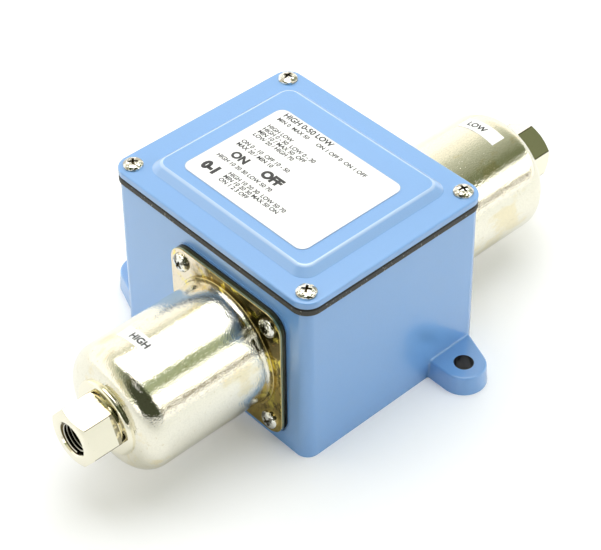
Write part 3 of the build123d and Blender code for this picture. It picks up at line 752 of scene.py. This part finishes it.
class PrintSettings(bpy.types.PropertyGroup):
    ink_colour: bpy.props.FloatVectorProperty(
        name="Ink colour", description="Print on the nameplate and the tags",
        default=(0.03, 0.03, 0.033), subtype="COLOR", min=0, max=1,
    )
    letter_height: bpy.props.FloatProperty(
        name="Letter height", description="Height of the letters on the tags",
        default=2.8 * MM, unit="LENGTH",
    )


class StageSettings(bpy.types.PropertyGroup):
    floor_colour: bpy.props.FloatVectorProperty(
        name="Floor colour", description="Plain floor", default=(0.89, 0.9, 0.925),
        subtype="COLOR", min=0, max=1,
    )
    light_level: bpy.props.FloatProperty(
        name="Light level", description="Strength of the soft studio light", default=1.34, min=0,
    )


# Operators


class SWITCH_OT_finishes(bpy.types.Operator):
    """Gives every solid of the switch its finish"""

    bl_idname = "pressure_switch.finishes"
    bl_label = "Finishes"

    def execute(self, context):
        paint = context.scene.switch_paint
        FINISHES["blue_paint"] = blue_paint(tuple(paint.case_colour))
        FINISHES["gasket_rubber"] = gasket_rubber()
        FINISHES["black_rubber"] = black_rubber()
        FINISHES["label_film"] = label_film("label_film", (0.95, 0.957, 0.97))
        FINISHES["zinc_plate"] = zinc_plate(tuple(paint.zinc_colour), tuple(paint.stain_colour))
        # The second colour is the painted shade inside the ports' bores.
        FINISHES["port_steel"] = port_steel((0.95, 0.91, 0.76), (0.07, 0.055, 0.015))
        tables = {
            screw_plate: SCREW_PLATINGS,
            chromate: CHROMATES,
            plain_metal: PLAIN_METALS,
            moulding: MOULDINGS,
        }
        for maker, table in tables.items():
            for name, values in table.items():
                FINISHES[name] = maker(name, *values)
        for name, node in frame["nodes"].items():
            node.data.materials.clear()
            node.data.materials.append(FINISHES[SLOTS[name]])
            node.data.shade_smooth()
            weld = node.modifiers.new("weld", "WELD")
            weld.merge_threshold = WELD_GAP
            split = node.modifiers.new("sharp_edges", "EDGE_SPLIT")
            split.split_angle = SHADE_ANGLE
            node.modifiers.new("even_shading", "WEIGHTED_NORMAL")
        return {"FINISHED"}


class SWITCH_OT_screws(bpy.types.Operator):
    """Puts cross-recess pan heads in place of the plain screws"""

    bl_idname = "pressure_switch.screws"
    bl_label = "Screw heads"

    def execute(self, context):
        kit = context.scene.switch_screws
        head = pan_head(kit.head_diameter, PAN_HEIGHT, kit.recess_width, SHANK_RADIUS, SHANK_LENGTH)
        # Painted shade: the cross recesses of the heads take a dark brown metal.
        recess_shade = plain_metal("painted_recess_shade", (0.12, 0.085, 0.035), 0.35, 0.4)
        steel = (FINISHES["screw_steel"], recess_shade)
        gold = (FINISHES["gold_steel"], recess_shade)
        bm = bmesh.new()
        for (x, y), turn in zip(COVER_SCREWS, SCREW_TURNS["cover"]):
            spin = Matrix.Rotation(math.radians(turn), 4, "Z")
            gather(bm, head, Matrix.Translation((x, y, SEAT_TOP)) @ spin)
        made = piece("cover_screw_heads", bm, steel)
        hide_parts("cover_screws")
        for name, side in SIDES.items():
            low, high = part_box(f"{name}_flange_plate")
            face = max(abs(low.x), abs(high.x)) - FLANGE_RING
            bm = bmesh.new()
            ends = (-FLANGE_SCREW_OFFSET, FLANGE_SCREW_OFFSET)
            spots = [(a, b) for a in ends for b in ends]
            for (a, b), turn in zip(spots, SCREW_TURNS[name]):
                spin = Matrix.Rotation(math.radians(turn), 4, "Z")
                gather(bm, head, side_frame(side, face) @ Matrix.Translation((a, b, 0)) @ spin)
            made = piece(f"{name}_flange_screw_heads", bm, gold)
            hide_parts(f"{name}_flange_screws")
        bpy.data.meshes.remove(head)
        return {"FINISHED"}


class SWITCH_OT_threads(bpy.types.Operator):
    """Winds the ridges of the pipe threads inside the ports and the cable entry"""

    bl_idname = "pressure_switch.threads"
    bl_label = "Pipe threads"

    def execute(self, context):
        kit = context.scene.switch_threads
        # Painted shade and highlight: the thread is a dark metal, and the crest's upper faces are a
        # bright cream matte.
        shaded = plain_metal("thread_root", (0.1, 0.075, 0.025), 0.2, 0.2)
        crest_highlight = moulding("thread_flank", (0.95, 0.93, 0.84), 0.2)
        pitch = kit.port_pitch
        crest = PORT_WALL - PORT_RIDGE
        outline = [(PORT_WALL, -0.45 * pitch), (PORT_WALL, 0.45 * pitch)]
        outline += [(crest + 0.3 * MM, 0.22 * pitch), (crest, 0.05 * pitch), (crest, -0.1 * pitch)]
        for name, side in SIDES.items():
            low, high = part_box(f"{name}_port_fitting")
            face = max(abs(low.x), abs(high.x))
            place = side_frame(side, face - PORT_DEPTH)
            bm = coil(outline, pitch, PORT_TURNS, PORT_STEPS, place)
            piece(f"{name}_port_thread", bm, (shaded, crest_highlight), angle=THREAD_ANGLE)
        pitch = kit.entry_pitch
        crest = ENTRY_WALL - ENTRY_RIDGE
        outline = [(ENTRY_WALL, -0.45 * pitch), (ENTRY_WALL, 0.45 * pitch)]
        outline += [(crest, 0.1 * pitch), (crest, -0.1 * pitch)]
        turned = Matrix(((1, 0, 0), (0, 0, 1), (0, -1, 0))).to_4x4()
        place = Matrix.Translation(ENTRY_START) @ turned
        bm = coil(outline, pitch, ENTRY_TURNS, ENTRY_STEPS, place)
        paint = FINISHES["blue_paint"]
        piece("cable_entry_thread", bm, (paint, paint), angle=THREAD_ANGLE)
        return {"FINISHED"}


class SWITCH_OT_elastic(bpy.types.Operator):
    """Puts a welded, smooth-shaded copy of each bellows and range-spring node, with its finish, in
    place of the node
    """

    bl_idname = "pressure_switch.elastic"
    bl_label = "Bellows and spring"

    def execute(self, context):
        joints = frame["record"]["behaviour"]["joints"]
        slide = next(joint for joint in joints if joint["name"] == "rod_slide")
        for entry in slide["deforming_nodes"]:
            name = entry["node"]
            node = frame["nodes"][name]
            low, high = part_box(name)
            fixed = entry["fixed_end_x_m"]
            moving = max((low.x, high.x), key=lambda end: abs(end - fixed))
            bm = bmesh.new()
            bm.from_mesh(node.data)
            bmesh.ops.remove_doubles(bm, verts=bm.verts, dist=WELD_GAP)
            made = new_object(f"{name}_stretch", bm)
            made.data.shade_smooth()
            made.data.set_sharp_from_angle(angle=SHADE_ANGLE)
            made.data.materials.append(FINISHES[SLOTS[name]])
            ends = [(end, AXIS_Y, AXIS_Z) for end in (fixed, moving)]
            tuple(ends[0])
            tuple(ends[1])
            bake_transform(made)
            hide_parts(name)
        return {"FINISHED"}


class SWITCH_OT_nameplate(bpy.types.Operator):
    """Lays the nameplate sheet with rows of plain word marks"""

    bl_idname = "pressure_switch.nameplate"
    bl_label = "Nameplate"

    def execute(self, context):
        ink = print_ink("plate_ink", tuple(context.scene.switch_print.ink_colour))
        low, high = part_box("nameplate")
        sheet = bmesh.new()
        bmesh.ops.create_cube(sheet, size=1)
        size = high - low
        thick = size.z - PRINT_ROOM
        bmesh.ops.scale(sheet, vec=(size.x, size.y, thick), verts=sheet.verts)
        middle = (low + high) / 2
        bmesh.ops.translate(sheet, vec=(middle.x, middle.y, low.z + thick / 2), verts=sheet.verts)
        upright = [e for e in sheet.edges if abs(e.verts[0].co.z - e.verts[1].co.z) > thick / 2]
        bmesh.ops.bevel(
            sheet,
            geom=upright,
            offset=SHEET_CORNER,
            segments=12,
            profile=0.5,
            affect="EDGES",
            material=-1,
        )
        top_face = max(sheet.faces, key=lambda face: face.calc_center_median().z)
        for face in sheet.faces:
            face.material_index = 1
        bmesh.ops.inset_region(sheet, faces=[top_face], thickness=SHEET_RIM, use_even_offset=True)
        top_face.material_index = 0
        edge = label_film("label_edge", (0.42, 0.5, 0.66))
        film = (FINISHES["label_film"], edge)
        made = piece("nameplate_sheet", sheet, film)
        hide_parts("nameplate")
        marks = bmesh.new()
        top = high.z - PRINT_DROP
        for body, height, weight, start, foot in PLATE_ROWS:
            place = on_plate(start * MM, foot * MM, top)
            pour(marks, lettering(body, height * MM, weight, place))
        piece("nameplate_print", marks, (ink,))
        return {"FINISHED"}


class SWITCH_OT_tags(bpy.types.Operator):
    """Prints the side names HIGH and LOW on the tags round the cans"""

    bl_idname = "pressure_switch.tags"
    bl_label = "Side tags"

    def execute(self, context):
        kit = context.scene.switch_print
        ink = print_ink("tag_ink", tuple(kit.ink_colour))
        for name, (start, foot) in TAG_MARKS.items():
            place = on_tag(start, foot * MM)
            bm = lettering(name.upper(), kit.letter_height, TAG_WEIGHT, place)
            piece(f"{name}_tag_letters", bm, (ink,))
        return {"FINISHED"}


class SWITCH_OT_stage(bpy.types.Operator):
    """Sets the white floor, the soft light round it and the camera"""

    bl_idname = "pressure_switch.stage"
    bl_label = "Stage"

    def execute(self, context):
        kit = context.scene.switch_stage
        floor = Finish("studio_floor", roughness=0.9, emission_strength=FLOOR_GLOW)
        floor.put("Base Color", tuple(kit.floor_colour))
        seen = floor.node("ShaderNodeLightPath")
        floor.put("Emission Color", floor.mix(seen, (0.0, 0.0, 0.0), (1.0, 1.0, 1.0)))
        self.sheet("studio_floor", floor.material, *FLOOR_SHEET)
        self.ceiling(context.scene, kit.light_level)
        self.fill(context.scene, kit.light_level)
        self.camera(context.scene)
        context.scene.view_settings.view_transform = "Standard"
        return {"FINISHED"}

    def sheet(self, name, material, reach, height):
        """A level square sheet of the stage."""
        bm = bmesh.new()
        bmesh.ops.create_grid(bm, x_segments=1, y_segments=1, size=reach)
        made = new_object(name, bm)
        made.data.materials.append(material)
        made.location.z = height
        return made

    def ceiling(self, scene, level):
        """A soft box over the switch in a pale ceiling, with the dark camera stand beside it."""
        world = bpy.data.worlds.new("studio_air")
        scene.world = world
        world.use_nodes = True
        air = Kit(world.node_tree)
        plain = {"Color": (1.0, 1.0, 1.0), "Strength": level}
        light = air.node("ShaderNodeBackground", None, plain)
        out = air.tree.nodes.new("ShaderNodeOutputWorld")
        air.tree.links.new(light.socket, out.inputs[0])
        glow = Finish(
            "studio_ceiling",
            base_color=(0.0, 0.0, 0.0),
            specular_ior_level=0.0,
            emission_strength=level,
        )
        _, (x, y, _) = glow.place()
        front = 1 - y.above(-0.66, 0.06)
        shade = glow.mix(y.above(0.62, 0.28), (0.5, 0.49, 0.37), (0.97, 0.94, 0.86))
        shade = glow.mix(front, shade, (1.5, 1.5, 1.42))
        right = x.above(0.34, 0.02) * y.between(-0.26, 0.02, 0.6, 0.2)
        side = glow.mix(y.above(-0.05, 0.28), (0.2, 0.215, 0.14), (0.46, 0.47, 0.37))
        side = glow.mix(y.above(0.3, 0.22), side, (0.88, 0.85, 0.72))
        shade = glow.mix(right, shade, side)
        near_gap = y.between(-0.66, 0.06, -0.26, 0.03)
        gap_tone = glow.mix(x.above(0.44, 0.02), (0.30, 0.34, 0.21), (0.14, 0.155, 0.085))
        shade = glow.mix(near_gap, shade, gap_tone)
        far_gap = y.between(-5.5, 0.3, -2.0, 0.15) * x.between(0.5, 0.1, 4.5, 0.3)
        shade = glow.mix(far_gap, shade, (0.14, 0.11, 0.045))
        soft_box = x.between(-0.5, 0.01, 0.33, 0.01) * y.between(-0.25, 0.02, 0.33, 0.02)
        shade = glow.mix(soft_box, shade, (2.6, 2.6, 2.6))
        left_of = 1 - (x + y * 0.32).above(-0.216, 0.02)
        stand = left_of * (1 - (y - x * 0.55).above(0.595, 0.05))
        lamp = x.between(-0.4, 0.01, -0.34, 0.01) * y.between(-0.33, 0.01, -0.15, 0.01)
        dark = glow.mix(y.above(0.05, 0.25), (0.045, 0.05, 0.03), (0.32, 0.34, 0.25))
        dark = glow.mix(lamp, dark, (1.2, 1.2, 1.2))
        glow.put("Emission Color", glow.mix(stand, shade, dark))
        made = self.sheet("studio_ceiling", glow.material, *CEILING_SHEET)
        made.visible_camera = False

    def fill(self, scene, level):
        """Two large soft lamps that lift the upright faces and stay out of the reflections."""
        for name, (place, power) in FILL_LAMPS.items():
            data = bpy.data.lights.new(name, "AREA")
            data.shape = "SQUARE"
            data.size = FILL_SIZE
            data.energy = power * level
            made = bpy.data.objects.new(name, data)
            scene.collection.objects.link(made)
            made.location = place
            aim = Vector(FILL_AIM) - made.location
            made.rotation_euler = aim.to_track_quat("-Z", "Y").to_euler()
            made.visible_glossy = False

    def camera(self, scene):
        """The photograph's viewpoint: place, turn and lens."""
        data = bpy.data.cameras.new("photo_camera")
        data.lens = CAMERA_LENS
        data.sensor_width = CAMERA_SENSOR
        made = bpy.data.objects.new("photo_camera", data)
        scene.collection.objects.link(made)
        turn, tilt, roll = (math.radians(angle) for angle in CAMERA_ANGLES)
        back = Vector(
            (math.sin(turn) * math.cos(tilt), -math.cos(turn) * math.cos(tilt), math.sin(tilt))
        )
        flat_right = Vector((math.cos(turn), math.sin(turn), 0))
        flat_up = back.cross(flat_right)
        right = flat_right * math.cos(roll) + flat_up * math.sin(roll)
        up = flat_up * math.cos(roll) - flat_right * math.sin(roll)
        place = Matrix((right, up, back)).transposed().to_4x4()
        made.matrix_world = Matrix.Translation(CAMERA_PLACE) @ place
        scene.camera = made


class SWITCH_PT_panel(bpy.types.Panel):
    """The steps that dress and light the switch"""

    bl_idname = "SWITCH_PT_panel"
    bl_label = "Pressure switch"
    bl_space_type = "VIEW_3D"
    bl_region_type = "UI"
    bl_category = "Pressure Switch"

    def draw(self, context):
        for operator in OPERATORS:
            self.layout.operator(operator.bl_idname)


GROUPS = {
    "switch_paint": PaintSettings,
    "switch_screws": ScrewSettings,
    "switch_threads": ThreadSettings,
    "switch_print": PrintSettings,
    "switch_stage": StageSettings,
}
OPERATORS = (
    SWITCH_OT_finishes,
    SWITCH_OT_screws,
    SWITCH_OT_threads,
    SWITCH_OT_elastic,
    SWITCH_OT_nameplate,
    SWITCH_OT_tags,
    SWITCH_OT_stage,
)


def register():
    for kind in (*GROUPS.values(), *OPERATORS, SWITCH_PT_panel):
        bpy.utils.register_class(kind)
    for name, kind in GROUPS.items():
        setattr(bpy.types.Scene, name, bpy.props.PointerProperty(type=kind))


def unregister():
    for name in GROUPS:
        delattr(bpy.types.Scene, name)
    for kind in (SWITCH_PT_panel, *reversed(OPERATORS), *GROUPS.values()):
        bpy.utils.unregister_class(kind)


def main():
    """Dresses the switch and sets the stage."""
    register()
    bpy.ops.pressure_switch.finishes()
    bpy.ops.pressure_switch.screws()
    bpy.ops.pressure_switch.threads()
    bpy.ops.pressure_switch.elastic()
    bpy.ops.pressure_switch.nameplate()
    bpy.ops.pressure_switch.tags()
    bpy.ops.pressure_switch.stage()


if __name__ == "__main__":
    main()
